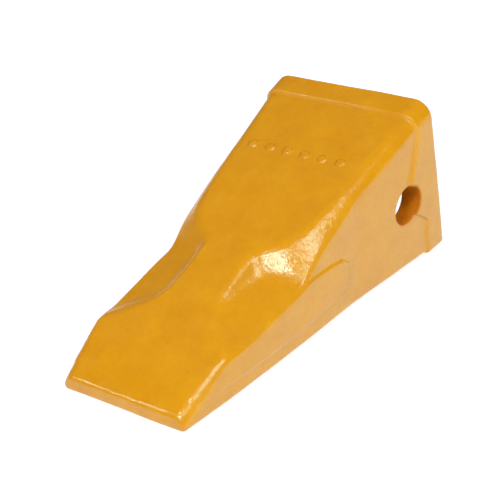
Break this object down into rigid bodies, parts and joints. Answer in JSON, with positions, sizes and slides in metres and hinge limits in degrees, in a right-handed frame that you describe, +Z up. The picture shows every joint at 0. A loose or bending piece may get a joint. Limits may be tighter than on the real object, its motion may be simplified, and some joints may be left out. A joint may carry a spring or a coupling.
{
  "type": "excavator bucket tooth",
  "caption": "Hollow chisel-edged bucket tooth casting with side scallops, a rear socket collar and a cross-pin bore, with its lock pin and snap retainer stowed in the socket.",
  "frame": {"origin": "centre of the cross-pin bore, midway between the two ears", "axes": "+X towards the cutting edge, +Y along the pin bore, +Z up with the tooth lying on its underside"},
  "size_m": [0.3196, 0.1404, 0.1332],
  "materials": {
    "paint": "gloss",
    "pin_steel": "satin",
    "retainer_steel": "blackened",
    "spring_steel": "satin"
  },
  "bodies": {
    "casting": {"tooth_casting": "paint"},
    "pin": {"lock_pin": "pin_steel"},
    "retainer": {"retainer_ring": "retainer_steel", "retainer_snap_ring": "spring_steel"}
  },
  "joints": [
    {"name": "pin_slide", "type": "slide", "parent": "casting", "child": "pin", "axis": [-1, 0, 0], "range_m": [0, 0.16]},
    {"name": "retainer_slide", "type": "slide", "parent": "casting", "child": "retainer", "axis": [-1, 0, 0], "range_m": [0, 0.16]}
  ]
}
